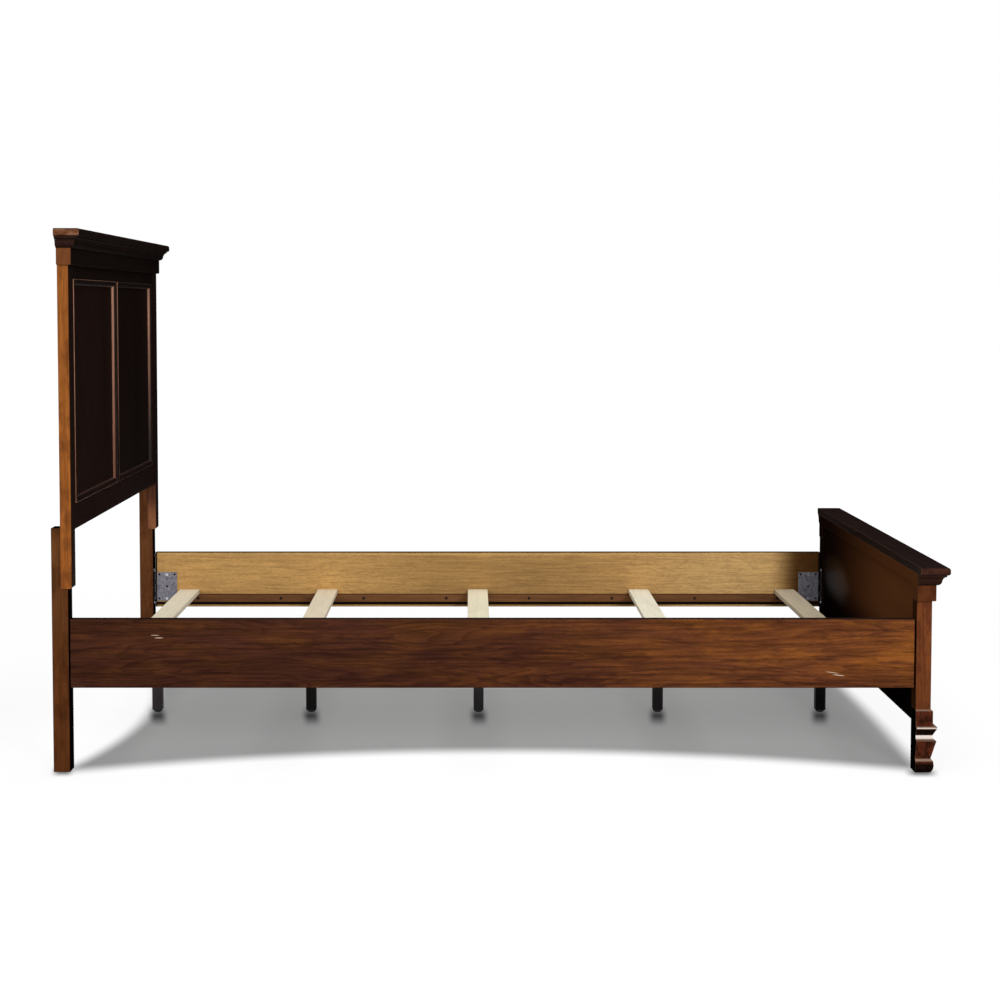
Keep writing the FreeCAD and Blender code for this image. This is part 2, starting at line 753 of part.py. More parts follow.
def make_rails(masters):
    first, last = "rail_start + cleat_screw_inset", "rail_start + rail_length - cleat_screw_inset"
    gaps = cleat_screw_count - 1
    cleat_face = "rail_inner - cleat_thickness + cleat_bore_depth"
    middle = "cleat_low + cleat_height / 2"
    places = [(f"{first} + ({last} - ({first})) * {index} / {gaps}", cleat_face, middle)
              for index in range(cleat_screw_count)]
    screws = copies("cleat_screws_left", masters["cleat_screw"], places, head_inward_y)
    holes = copies("cleat_holes_left", masters["cleat_hole"], places, head_inward_y)
    node(group("cleat_screws_all", [screws, other_side("cleat_screws_right", screws)]), "cleat_screws")

    plate_face = "rail_inner - plate_thickness"
    plate_x = "rail_start + plate_inset + plate_length / 2"
    plate_rows = ("plate_low + plate_hole_inset", "plate_low + plate_height - plate_hole_inset")
    plate_places = [(plate_x, plate_face, row) for row in plate_rows]
    plate_screws = copies("plate_screws", masters["screw"], plate_places, head_inward_y)
    plate_holes = copies("plate_screw_holes", masters["screw_hole"], plate_places, head_inward_y)

    rail = prism("rail_blank", "YZ", rectangle("rail_inner", "rail_bottom", "rail_outer",
                                               "rail_bottom + rail_height", "edge_round", "abcd"),
                 "rail_start", "rail_length")
    spare_spots = [(across, plate_face, up) for across, up in spare_places(plate_x, plate_rows)]
    spare = copies("spare_holes", masters["spare_hole"], spare_spots, head_inward_y)
    both_sides("side_rail", cut("rail", rail, holes, plate_holes, other_end("plate_holes_foot", plate_holes),
                                spare, other_end("spare_holes_foot", spare)))
    cleat = board("cleat_blank", ("rail_start + cleat_inset", "rail_inner - cleat_thickness", "cleat_low"),
                  ("rail_length - 2 * cleat_inset", "cleat_thickness", "cleat_height"))
    both_sides("slat_cleat", cut("cleat", cleat, holes))

    keeper_screws = copies("keeper_screws", masters["screw"], keeper_screw_places(), head_forward)
    four_of("bracket_screws", group("bracket_screws_head_left", [plate_screws, keeper_screws]))
    four_of("rail_hook_plates", make_hook_plate(plate_x, plate_rows))
    four_of("keeper_plates", make_keeper_plate(masters))


def four_of(label, piece):
    # One at each end of each rail, made from the one at the head end on the left
    end = group(label + "_left", [piece, other_end(label + "_foot", piece)])
    node(group(label + "_all", [end, other_side(label + "_right", end)]), label)


def spare_places(middle, rows):
    # Open screw holes of a hook plate: its middle and its corners
    reach = "(plate_length / 2 - plate_hole_inset)"
    corners = [(f"{middle} {sign} {reach}", row) for row in rows for sign in "+-"]
    return [(middle, "plate_low + plate_height / 2")] + corners


def make_hook_plate(middle, rows):
    left, right = "rail_start + plate_inset", "rail_start + plate_inset + plate_length"
    high = "plate_low + plate_height"
    tip, back = "keeper_back - hook_reach", "keeper_back - hook_clearance"
    outline = [(left, "plate_low"), (right, "plate_low"), (right, high), (left, high)]
    for hook in ("upper_hook", "lower_hook"):
        neck_high, toe = f"{hook} + hook_neck", f"{hook} - hook_drop"
        outline += [(left, neck_high), (tip, neck_high), (tip, toe), (back, toe), (back, hook), (left, hook)]
    holes = [(across, up, "plate_hole_radius") for across, up in spare_places(middle, rows)]
    holes += [(middle, row, "screw_radius + fit_clearance") for row in rows]
    return prism("hook_plate", "XZ", outline, "rail_inner - plate_thickness", "plate_thickness", holes)


def make_keeper_plate(masters):
    plate = board("keeper_blank", ("keeper_back", "rail_inner - keeper_width / 2", "keeper_low"),
                  ("keeper_thickness", "keeper_width", "keeper_height"))
    slots = []
    for hook in ("lower_hook", "upper_hook"):
        low = ("keeper_back - overrun", "rail_inner - plate_thickness - hook_clearance", hook)
        size = ("keeper_thickness + 2 * overrun", "plate_thickness + 2 * hook_clearance",
                "hook_neck + hook_drop + hook_clearance")
        slots.append(board(f"{hook}_slot", low, size))
    holes = copies("keeper_plate_holes", masters["screw_hole"], keeper_screw_places(), head_forward)
    return cut("keeper", plate, group("keeper_slots", slots), holes)


def countersunk(name, radius, length, head_radius, head_height):
    # A flat head that sinks into the slat, with its shank below
    return turned(name, [("0", f"-({length})"), (radius, f"-({length})"), (radius, f"-({head_height})"),
                         (head_radius, "0"), ("0", "0")])


def make_slats_and_supports(masters):
    slat_high = "slat_low + slat_thickness"
    bolt = countersunk("slat_bolt_master", "stem_radius", "slat_bolt_length", "slat_bolt_head_radius",
                       "slat_bolt_head_height")
    bolt_hole = countersunk("slat_bolt_hole_master", "stem_radius + thread_clearance",
                            "slat_bolt_length + overrun", "slat_bolt_head_radius + fit_clearance",
                            "slat_bolt_head_height")
    socket = stepped_pin("support_socket_master", "stem_radius + thread_clearance",
                         "stem_length + stem_room - insert_length", "insert_radius + fit_clearance",
                         "insert_length + overrun")
    middles = [f"rail_start + rail_length * {share}" for share in slat_shares]
    bolt_places = [(middle, "0", slat_high) for middle in middles]
    low_inserts = [(middle, "0", "support_gap") for middle in middles]
    high_inserts = [(middle, "0", "slat_low - insert_length") for middle in middles]
    node(copies("support_bolts", bolt, bolt_places), "support_leg_bolts")
    node(copies("support_inserts", masters["insert"], low_inserts + high_inserts), "support_leg_inserts")

    for index, middle in enumerate(middles):
        make_slat(index + 1, middle, bolt_hole, slat_high)
        make_support_leg(index + 1, middle, socket)
        make_glide(index + 1, middle)


def make_slat(count, middle, bolt_hole, slat_high):
    blank = prism(f"slat_blank_{count}", "XZ",
                  rectangle(f"{middle} - slat_width / 2", "slat_low", f"{middle} + slat_width / 2", slat_high,
                            "slat_round", "abcd"),
                  "-rail_inner + slat_clearance", "inside_width - 2 * slat_clearance")
    hole = copies(f"slat_hole_{count}", bolt_hole, [(middle, "0", slat_high)])
    node(cut(f"slat_{count}", blank, hole), f"slat_{count}")


def make_support_leg(count, middle, socket):
    half, inset = "support_side / 2", "support_side / 2 - support_chamfer"
    corners = [(f"{middle} + {inset}", f"-({half})"), (f"{middle} + {half}", f"-({inset})"),
               (f"{middle} + {half}", inset), (f"{middle} + {inset}", half),
               (f"{middle} - ({inset})", half), (f"{middle} - {half}", inset),
               (f"{middle} - {half}", f"-({inset})"), (f"{middle} - ({inset})", f"-({half})")]
    blank = prism(f"support_blank_{count}", "XY", corners, "support_gap", "slat_low - support_gap")
    upper = copies(f"support_socket_high_{count}", socket, [(middle, "0", "slat_low - insert_length")])
    lower = copies(f"support_socket_low_{count}", socket, [(middle, "0", "support_gap + insert_length")],
                   Rotation(Vector(1, 0, 0), 2 * quarter_turn))
    node(cut(f"support_leg_{count}", blank, upper, lower), f"support_leg_{count}")


def make_glide(count, middle):
    # The pad clips round the flange of the stem, which turns in it
    cavity_high = "pad_floor + flange_height + 2 * run_clearance"
    pad = turned(f"glide_pad_body_{count}", [
        ("0", "0"), ("pad_toe_radius", "0", "pad_dome_radius", True), ("pad_radius", "pad_dome_rise"),
        ("pad_radius", "pad_height"), ("stem_radius + run_clearance", "pad_height"),
        ("stem_radius + run_clearance", cavity_high), ("flange_radius + run_clearance", cavity_high),
        ("flange_radius + run_clearance", "pad_floor"), ("0", "pad_floor")])
    flange_low = "pad_floor + run_clearance"
    flange_high = f"{flange_low} + flange_height"
    stem_high = f"{flange_high} + stem_length"
    stem = turned(f"glide_stem_body_{count}", [
        ("0", flange_low), ("flange_radius", flange_low), ("flange_radius", flange_high),
        ("stem_radius", flange_high), ("stem_radius", f"{stem_high} - stem_chamfer"),
        ("stem_radius - stem_chamfer", stem_high), ("0", stem_high)])
    for piece in (pad, stem):
        seat(piece, (middle, "0", "pad_low"))
    node(pad, f"glide_pad_{count}")
    node(stem, f"glide_stem_{count}")


def check_and_write():
    doc.recompute()
    for item in doc.Objects:
        if "Invalid" in item.State or "Error" in item.State:
            raise RuntimeError(f"{item.Name} failed: {item.State}")
    os.makedirs("parts", exist_ok=True)
    for piece in nodes:
        shape = piece.Shape
        if shape.isNull() or not shape.isValid() or not shape.Solids:
            raise RuntimeError(f"{piece.Label} has no sound shape")
    for piece in nodes:
        piece.Shape.exportStep(f"parts/{piece.Label}.step")
    print(f"{len(nodes)} nodes, {sum(len(piece.Shape.Solids) for piece in nodes)} solids")


names = set(driving_sizes) | set(derived_sizes)
fill_sheet()
fastener_masters = make_fastener_masters()
frame_dowels = make_headboard(fastener_masters) + make_footboard(fastener_masters)
node(group("dowels", frame_dowels), "frame_dowels")
make_rails(fastener_masters)
make_slats_and_supports(fastener_masters)
check_and_write()
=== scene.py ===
import bpy
import math
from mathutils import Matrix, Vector

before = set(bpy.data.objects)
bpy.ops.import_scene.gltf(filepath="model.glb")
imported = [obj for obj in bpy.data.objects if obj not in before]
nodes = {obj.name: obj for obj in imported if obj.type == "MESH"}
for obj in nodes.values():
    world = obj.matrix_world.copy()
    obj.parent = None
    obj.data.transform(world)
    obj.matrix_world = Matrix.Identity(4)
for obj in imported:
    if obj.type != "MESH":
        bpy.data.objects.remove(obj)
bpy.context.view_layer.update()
print("frame loaded,", len(nodes), "nodes")


# small helpers for node trees

def linear(colour):  # 0-255 paint chip to scene colour
    shares = [c / 255 for c in colour]
    return tuple(s / 12.92 if s < 0.0404 else ((s + 0.055) / 1.055) ** 2.4 for s in shares) + (1,)


def tones(colour, spread, warm=0.9):  # dark, middle and light of one stain
    r, g, b, a = linear(colour)
    dark = (r * (1 - spread), g * (1 - spread * 1.08), b * (1 - spread * warm), a)
    light = (r * (1 + spread), g * (1 + spread * 1.15), b * (1 + spread * 0.95), a)
    return dark, (r, g, b, a), light


def put(tree, kind, **settings):
    node = tree.nodes.new(kind)
    for key, value in settings.items():
        setattr(node, key, value)
    return node


def feed(tree, socket, value):  # wire a socket, or set it when given a plain value
    if isinstance(value, bpy.types.NodeSocket):
        tree.links.new(value, socket)
    else:
        socket.default_value = value


def sums(tree, operation, a, b=0.0, c=0.0, clamp=False):
    node = put(tree, "ShaderNodeMath", operation=operation, use_clamp=clamp)
    for socket, value in zip(node.inputs, (a, b, c)):
        feed(tree, socket, value)
    return node.outputs[0]


def vectors(tree, operation, a, b):
    node = put(tree, "ShaderNodeVectorMath", operation=operation)
    feed(tree, node.inputs[0], a)
    feed(tree, node.inputs[1], b)
    return node.outputs["Value"] if operation == "DOT_PRODUCT" else node.outputs[0]


def apart(tree, vector):  # the three numbers of a vector
    node = put(tree, "ShaderNodeSeparateXYZ")
    feed(tree, node.inputs[0], vector)
    return node.outputs


def blendColours(tree, factor, a, b, mode="MIX"):
    node = put(tree, "ShaderNodeMix", data_type="RGBA", blend_type=mode)
    feed(tree, node.inputs["Factor"], factor)
    feed(tree, node.inputs[6], a)
    feed(tree, node.inputs[7], b)
    return node.outputs[2]


def spread(tree, value, low, high):  # stretch a band of values to 0-1
    node = put(tree, "ShaderNodeMapRange", interpolation_type="SMOOTHSTEP")
    feed(tree, node.inputs["Value"], value)
    node.inputs["From Min"].default_value = low
    node.inputs["From Max"].default_value = high
    return node.outputs["Result"]


def noise(tree, vector, scale, detail=2.0, roughness=0.5, distortion=0.0):
    node = put(tree, "ShaderNodeTexNoise")
    feed(tree, node.inputs["Vector"], vector)
    node.inputs["Scale"].default_value = scale
    node.inputs["Detail"].default_value = detail
    node.inputs["Roughness"].default_value = roughness
    node.inputs["Distortion"].default_value = distortion
    return node.outputs["Fac"]


def startGroup(name, inputs, outputs):
    group = bpy.data.node_groups.new(name, "ShaderNodeTree")
    kinds = {"f": "NodeSocketFloat", "c": "NodeSocketColor", "v": "NodeSocketVector"}
    for label, kind in inputs:
        group.interface.new_socket(name=label, in_out="INPUT", socket_type=kinds[kind])
    for label, kind in outputs:
        group.interface.new_socket(name=label, in_out="OUTPUT", socket_type=kinds[kind])
    return group, put(group, "NodeGroupInput").outputs, put(group, "NodeGroupOutput").inputs


def place(tree, group, **values):
    node = put(tree, "ShaderNodeGroup", node_tree=group)
    for label, value in values.items():
        feed(tree, node.inputs[label], value)
    return node.outputs


# shared effects

def makeFlameGrain():  # tangential grain: rings cut as long flames, fine fibres, slow clouds of stain
    group, given, out = startGroup(
        "flameGrain", [("Vector", "v"), ("Stretch", "v"), ("Fibre", "v"), ("Shift", "v"), ("Rings", "f"),
                       ("Thin", "f")], [("Flames", "f"), ("Fibres", "f"), ("Clouds", "f")])
    stretched = vectors(group, "MULTIPLY", given["Vector"], given["Stretch"])
    moved = vectors(group, "ADD", stretched, given["Shift"])
    field = noise(group, moved, 1.0, 3.0, 0.45, 0.35)
    fine = vectors(group, "MULTIPLY", given["Vector"], given["Fibre"])
    fine = vectors(group, "ADD", fine, given["Shift"])
    fibres = spread(group, noise(group, fine, 1.0, 3.0, 0.6), 0.32, 0.72)
    turns = sums(group, "MULTIPLY_ADD", field, given["Rings"], sums(group, "MULTIPLY", fibres, 0.22))
    season = sums(group, "FRACT", turns)  # grows dark through the year, then starts again
    late = sums(group, "POWER", season, given["Thin"])
    late = sums(group, "MULTIPLY", late, spread(group, season, 1.0, 0.88))
    feed(group, out["Flames"], sums(group, "SUBTRACT", 1.0, late))
    feed(group, out["Fibres"], fibres)
    feed(group, out["Clouds"], spread(group, noise(group, moved, 0.55, 3.0, 0.55), 0.3, 0.72))
    return group


def makeStain():  # a stain over grain: clouds set the tone, flames and fibres draw the figure
    group, given, out = startGroup(
        "stainOverGrain", [("Flames", "f"), ("Fibres", "f"), ("Clouds", "f"), ("Dark", "c"),
                           ("Middle", "c"), ("Light", "c"), ("Flame Depth", "f"), ("Fibre Depth", "f")],
        [("Color", "c")])
    low = blendColours(group, given["Clouds"], given["Dark"], given["Middle"])
    high = blendColours(group, given["Clouds"], given["Middle"], given["Light"])
    drawn = sums(group, "MULTIPLY", given["Flames"], given["Flame Depth"], clamp=True)
    shade = sums(group, "SUBTRACT", 1.0, sums(group, "MULTIPLY", given["Fibres"], given["Fibre Depth"]))
    figured = blendColours(group, drawn, low, high)
    feed(group, out["Color"], blendColours(group, 1.0, figured, shade, "MULTIPLY"))
    return group


def makeFaces():  # which way a face of the bed looks, and where it is
    group, given, out = startGroup(
        "bedFaces", [], [("Side", "f"), ("Outward", "f"), ("Inward", "f"), ("Footward", "f"), ("Top", "f"),
                         ("Under", "f"), ("Along", "f"), ("Across", "f"), ("Up", "f"), ("Length", "f")])
    where = put(group, "ShaderNodeTexCoord")
    normal = apart(group, where.outputs["Normal"])
    spot = apart(group, where.outputs["Object"])
    feed(group, out["Side"], spread(group, sums(group, "ABSOLUTE", normal["Y"]), 0.55, 0.9))
    outward = sums(group, "MULTIPLY", normal["Y"], sums(group, "SIGN", spot["Y"]))
    feed(group, out["Outward"], spread(group, outward, 0.55, 0.9))
    feed(group, out["Inward"], spread(group, sums(group, "MULTIPLY", outward, -1.0), 0.55, 0.9))
    feed(group, out["Top"], spread(group, normal["Z"], 0.55, 0.8))
    feed(group, out["Along"], spread(group, spot["X"], -0.5, 1.2))
    feed(group, out["Across"], spread(group, spot["Y"], 0.45, -0.35))
    feed(group, out["Up"], spot["Z"])
    feed(group, out["Length"], spot["X"])
    feed(group, out["Footward"], spread(group, normal["X"], 0.3, 0.7))
    feed(group, out["Under"], spread(group, sums(group, "MULTIPLY", normal["Z"], -1.0), 0.15, 0.5))
    return group


def makeEdgeMarks():  # lighter where an arris is handled: wear, and painted highlight on the arris
    group, given, out = startGroup("edgeMarks", [("Width", "f")], [("Edge Mask", "f")])
    bevel = put(group, "ShaderNodeBevel", samples=6)
    feed(group, bevel.inputs["Radius"], given["Width"])
    surface = put(group, "ShaderNodeNewGeometry")
    facing = vectors(group, "DOT_PRODUCT", bevel.outputs["Normal"], surface.outputs["Normal"])
    broken = noise(group, surface.outputs["Position"], 60.0, 3.0, 0.6)
    bare = spread(group, sums(group, "SUBTRACT", 1.0, facing), 0.02, 0.22)
    feed(group, out["Edge Mask"], sums(group, "MULTIPLY", bare, spread(group, broken, 0.25, 0.6)))
    return group


def makePatches():  # stain that took unevenly
    group, given, out = startGroup(
        "patchyStain", [("Color", "c"), ("Tone", "c"), ("Amount", "f"), ("Scale", "v")], [("Color", "c")])
    where = put(group, "ShaderNodeTexCoord").outputs["Object"]
    cloud = noise(group, vectors(group, "MULTIPLY", where, given["Scale"]), 1.0, 4.0, 0.62)
    patch = sums(group, "MULTIPLY", spread(group, cloud, 0.42, 0.64), given["Amount"])
    feed(group, out["Color"], blendColours(group, patch, given["Color"], given["Tone"]))
    return group


flameGrain = makeFlameGrain()
stainOverGrain = makeStain()
bedFaces = makeFaces()
edgeMarks = makeEdgeMarks()
patchyStain = makePatches()
print("shared effects made")


# wood finishes

grainScales = {  # stretch of the flames and of the fibres, per metre, for grain along each axis
    "x": ((1.4, 11.0, 11.0), (10.0, 420.0, 420.0)),
    "y": ((11.0, 1.4, 11.0), (420.0, 10.0, 420.0)),
    "z": ((11.0, 11.0, 1.4), (420.0, 420.0, 10.0)),
}


def newMaterial(name):
    material = bpy.data.materials.new(name)
    material.use_nodes = True
    tree = material.node_tree
    return material, tree, tree.nodes["Principled BSDF"]


def woodCoat(tree, grain, colour, depth):
    dark, middle, light = tones(colour, depth["spread"], depth.get("warm", 0.9))
    depths = {"Flame Depth": depth["flames"], "Fibre Depth": depth["fibres"]}
    coat = place(tree, stainOverGrain, Flames=grain["Flames"], Fibres=grain["Fibres"],
                 Clouds=grain["Clouds"], Dark=dark, Middle=middle, Light=light, **depths)
    return coat["Color"]


def finishWood(tree, shader, colour, grain, look):
    rough = sums(tree, "MULTIPLY_ADD", grain["Fibres"], look.get("roughVary", 0.12), look["rough"])
    feed(tree, shader.inputs["Base Color"], colour)
    feed(tree, shader.inputs["Roughness"], rough)
    shader.inputs["Specular IOR Level"].default_value = look.get("specular", 0.03)
    bump = put(tree, "ShaderNodeBump")
    bump.inputs["Strength"].default_value = look.get("bump", 0.12)
    bump.inputs["Distance"].default_value = 0.0006
    feed(tree, bump.inputs["Height"], grain["Fibres"])
    feed(tree, shader.inputs["Normal"], bump.outputs["Normal"])


def grainOf(tree, look):
    where = put(tree, "ShaderNodeTexCoord")
    stretch, fibre = grainScales[look["along"]]
    return place(tree, flameGrain, Vector=where.outputs["Object"], Stretch=look.get("stretch", stretch),
                 Fibre=look.get("fibre", fibre), Shift=look["shift"], Rings=look.get("rings", 8.0),
                 Thin=look.get("thin", 1.6))


def band(tree, value, low, high):  # 1 between two heights, with soft edges
    rising = spread(tree, value, low - 0.001, low + 0.001)
    return sums(tree, "MULTIPLY", rising, spread(tree, value, high + 0.001, high - 0.001))


def stainedWood(name, look):  # dark show faces, warmer faces at the sides, arrises lighter with wear and painted highlight
    material, tree, shader = newMaterial(name)
    grain = grainOf(tree, look)
    faces = place(tree, bedFaces)
    colour = woodCoat(tree, grain, look["face"], look["depth"])
    if "far" in look:  # painted shade: darker toward the left of the bed
        far = woodCoat(tree, grain, look["far"], look["depth"])
        colour = blendColours(tree, faces["Across"], far, colour)
    if "faceShadow" in look:  # painted shadow: darker at the bottom
        lower = woodCoat(tree, grain, look["faceShadow"], look["depth"])
        colour = blendColours(tree, spread(tree, faces["Up"], *look["faceShadowSpan"]), lower, colour)
    if "outer" in look:  # the face away from the mattress
        outer = woodCoat(tree, grain, look["outer"], quietFigure)
        colour = blendColours(tree, faces["Footward"], colour, outer)
    side = woodCoat(tree, grain, look["side"], look["depth"])
    if "sideLow" in look:  # another tone further down
        lower = woodCoat(tree, grain, look["sideLow"], look["depth"])
        side = blendColours(tree, spread(tree, faces["Up"], *look["sideSpan"]), lower, side)
    reach = faces[look.get("sideFaces", "Side")]
    if "stub" in look:  # inner side shows warm below this height
        below = spread(tree, faces["Up"], look["stub"] + 0.01, look["stub"] - 0.01)
        reach = sums(tree, "MAXIMUM", reach, sums(tree, "MULTIPLY", faces["Inward"], below))
    if "patch" in look:  # tone, amount and scale
        tone, amount, scale = look["patch"]
        uneven = place(tree, patchyStain, Color=side, Tone=linear(tone), Amount=amount, Scale=scale)
        side = uneven["Color"]
    colour = blendColours(tree, reach, colour, side)
    # painted light on faces turned up, painted shade on faces turned down
    if "litTop" in look:
        colour = blendColours(tree, faces["Top"], colour, linear(look["litTop"]))
        colour = blendColours(tree, faces["Under"], colour, linear(look["recess"]))
    for low, high, tone in look.get("highlightLines", []):  # painted highlight lines at set heights
        highlightLine = band(tree, faces["Up"], low, high)
        highlightLine = sums(tree, "MULTIPLY", highlightLine, sums(tree, "MAXIMUM", faces["Outward"], faces["Top"]))
        colour = blendColours(tree, highlightLine, colour, linear(tone))
    # arrises: wear and painted highlight
    edgeMarkMask = place(tree, edgeMarks, Width=look.get("edgeMarkWidth", 0.0022))["Edge Mask"]
    bare = linear(look.get("bare", (112, 76, 58)))
    colour = blendColours(tree, sums(tree, "MULTIPLY", edgeMarkMask, look.get("edgeMarkAmount", 0.35)), colour, bare)
    if "polish" in look:  # a patch buffed brighter: across, up and half sizes
        inner = sums(tree, "SUBTRACT", 1.0, faces["Footward"])
        polish = sums(tree, "MULTIPLY", buffed(tree, *look["polish"]), inner)
        feed(tree, shader.inputs["Coat Weight"], polish)
        shader.inputs["Coat Roughness"].default_value = 0.35
    finishWood(tree, shader, colour, grain, look)
    return material


def roundAway(tree, a, b, halfA, halfB):  # 0 in the middle of an oval, 1 at its edge
    a = sums(tree, "MULTIPLY", a, 1 / halfA)
    b = sums(tree, "MULTIPLY", b, 1 / halfB)
    return sums(tree, "ADD", sums(tree, "MULTIPLY", a, a), sums(tree, "MULTIPLY", b, b))


def buffed(tree, across, up, wide, high):
    spot = apart(tree, put(tree, "ShaderNodeTexCoord").outputs["Object"])
    side = sums(tree, "SUBTRACT", spot["Y"], across)
    rise = sums(tree, "SUBTRACT", spot["Z"], up)
    patch = spread(tree, roundAway(tree, side, rise, wide, high), 1.0, 0.0)
    return sums(tree, "MULTIPLY", sums(tree, "POWER", patch, 3.0), 0.8)


def dress(names, material):
    for name in names:
        mesh = nodes[name].data
        mesh.materials.clear()
        mesh.materials.append(material)


quietFigure = {"spread": 0.32, "flames": 0.8, "fibres": 0.3}
boldFigure = {"spread": 0.42, "flames": 0.95, "fibres": 0.3}
railFigure = {"spread": 0.66, "flames": 1.0, "fibres": 0.5, "warm": 0.55}
softFigure = {"spread": 0.22, "flames": 0.15, "fibres": 0.0}

# headboard

headboardLooks = {
    "headboard_cap": {"along": "y", "face": (24, 15, 12), "side": (104, 62, 39), "shift": (1.3, 4.1, 0.2),
                      "edgeMarkAmount": 0.7, "bare": (150, 108, 84),
                      "patch": ((142, 98, 73), 0.8, (40.0, 60.0, 90.0))},
    "headboard_crown": {"along": "y", "face": (20, 11, 8), "side": (44, 25, 20), "shift": (2.3, 5.1, 1.2)},
    "headboard_frieze": {"along": "y", "face": (18, 10, 7), "side": (118, 68, 37),
                         "shift": (7.3, 1.4, 3.2)},
    "headboard_top_rail": {"along": "y", "face": (20, 11, 8), "side": (60, 34, 22),
                           "shift": (3.3, 2.4, 8.2)},
    "headboard_bottom_rail": {"along": "y", "face": (26, 13, 11), "side": (60, 34, 22),
                              "shift": (5.1, 6.4, 2.2)},
    "headboard_mullion": {"along": "z", "face": (24, 13, 10), "side": (60, 38, 30),
                          "shift": (6.6, 3.3, 4.1)},
    "headboard_stiles": {"along": "z", "face": (22, 12, 9), "side": (50, 30, 24),
                         "shift": (4.6, 8.3, 3.1)},
    "headboard_panel_left": {"along": "z", "face": (18, 8, 7), "side": (50, 28, 18),
                             "shift": (1.6, 7.3, 5.1)},
    "headboard_panel_right": {"along": "z", "face": (25, 12, 8), "side": (50, 28, 18),
                              "shift": (8.2, 2.3, 6.1)},
    # left post's side darker above 0.45 m: painted shade from the panel
    "headboard_post_left": {"along": "z", "face": (20, 10, 8), "side": (86, 50, 34),
                            "sideLow": (140, 88, 58), "sideSpan": (0.45, 0.52), "shift": (9.2, 4.3, 2.7),
                            "sideFaces": "Outward", "stub": 0.55},
    "headboard_post_right": {"along": "z", "face": (24, 13, 9), "side": (166, 98, 42),
                             "sideLow": (144, 82, 35), "sideSpan": (0.4, 0.85), "shift": (3.9, 6.3, 5.7),
                             "stretch": (30.0, 30.0, 2.0), "depth": boldFigure,
                             "patch": ((92, 48, 22), 0.55, (24.0, 24.0, 16.0))},
    "headboard_leg_left": {"along": "z", "face": (12, 7, 5), "side": (106, 64, 36),
                           "shift": (1.9, 3.3, 7.7), "specular": 0.0,
                           "patch": ((66, 36, 20), 0.6, (30.0, 30.0, 14.0))},
    "headboard_leg_right": {"along": "z", "face": (10, 6, 5), "side": (108, 66, 36),
                            "sideLow": (96, 54, 27), "sideSpan": (0.2, 0.5), "shift": (5.9, 8.3, 1.7),
                            "specular": 0.0, "bare": (40, 22, 12),
                            "patch": ((58, 30, 15), 0.6, (30.0, 30.0, 14.0))},
}
for name, look in headboardLooks.items():
    dress([name], stainedWood(name + "Stain", {"rough": 0.5, "depth": quietFigure, **look}))

# painted highlight on the beads' lit sides and arrises, lighter tops as painted light, darker undersides as
# painted shade
beadLook = {"along": "z", "face": (26, 15, 11), "side": (196, 140, 110), "rough": 0.3, "specular": 0.2,
            "edgeMarkWidth": 0.002, "litTop": (46, 31, 27), "recess": (14, 8, 6), "edgeMarkAmount": 1.0,
            "bare": (228, 176, 150), "depth": quietFigure}
farBead = {**beadLook, "sideLow": (24, 12, 10), "sideSpan": (0.64, 1.12), "shift": (4.2, 1.3, 6.7),
           "edgeMarkAmount": 0.6, "bare": (166, 136, 124)}
nearBead = {**beadLook, "sideLow": (156, 98, 72), "sideSpan": (0.6, 1.1), "shift": (2.2, 9.3, 3.7)}
dress(["headboard_bead_left"], stainedWood("headBeadLeftStain", farBead))
dress(["headboard_bead_right"], stainedWood("headBeadRightStain", nearBead))
print("headboard finished")

# footboard

footboardLooks = {
    "footboard_cap": {"along": "y", "face": (28, 17, 15), "side": (70, 40, 29), "shift": (2.8, 1.1, 4.2),
                      "edgeMarkAmount": 0.5, "bare": (132, 92, 70),
                      "patch": ((34, 19, 14), 0.7, (50.0, 50.0, 90.0))},
    "footboard_crown": {"along": "y", "face": (30, 17, 12), "side": (46, 25, 18),
                        "shift": (6.3, 2.1, 1.7)},
    "footboard_frieze": {"along": "y", "face": (90, 53, 28), "far": (24, 12, 9), "side": (98, 54, 29),
                         "shift": (4.3, 9.4, 2.2), "depth": softFigure, "bump": 0.0, "specular": 0.0,
                         "outer": (24, 13, 10), "patch": ((62, 32, 18), 0.6, (40.0, 40.0, 40.0))},
    "footboard_inner_panel": {"along": "y", "face": (94, 56, 31), "far": (18, 9, 6), "side": (40, 23, 14),
                              "shift": (8.3, 3.4, 1.2), "depth": softFigure, "bump": 0.0, "specular": 0.0,
                              "polish": (0.35, 0.305, 0.26, 0.085), "faceShadow": (8, 4, 3),
                              "faceShadowSpan": (0.2, 0.32), "outer": (23, 11, 8)},
    "footboard_top_rail": {"along": "y", "face": (24, 13, 10), "side": (60, 34, 22),
                           "shift": (1.3, 5.4, 6.2)},
    "footboard_bottom_rail": {"along": "y", "face": (24, 13, 10), "side": (60, 34, 22),
                              "shift": (7.1, 4.4, 3.2)},
    "footboard_mullion": {"along": "z", "face": (22, 12, 9), "side": (70, 40, 26),
                          "shift": (2.6, 8.3, 1.1)},
    "footboard_post_left": {"along": "z", "face": (18, 10, 7), "side": (104, 59, 34),
                            "shift": (5.2, 2.9, 8.7), "specular": 0.0},
    "footboard_post_right": {"along": "z", "face": (60, 34, 18), "side": (122, 68, 37),
                             "shift": (8.9, 1.3, 3.7), "specular": 0.0,
                             "patch": ((78, 38, 26), 0.6, (60.0, 60.0, 24.0)), "outer": (24, 13, 10)},
}
for name, look in footboardLooks.items():
    # inward sides keep the dark face tone: painted shade
    look = {"rough": 0.5, "depth": quietFigure, "sideFaces": "Outward", **look}
    dress([name], stainedWood(name + "Stain", look))
leftBead = {**beadLook, "shift": (3.2, 1.8, 7.7)}
rightBead = {**beadLook, "shift": (9.2, 6.3, 4.7)}
dress(["footboard_bead_left"], stainedWood("footBeadLeftStain", leftBead))
dress(["footboard_bead_right"], stainedWood("footBeadRightStain", rightBead))
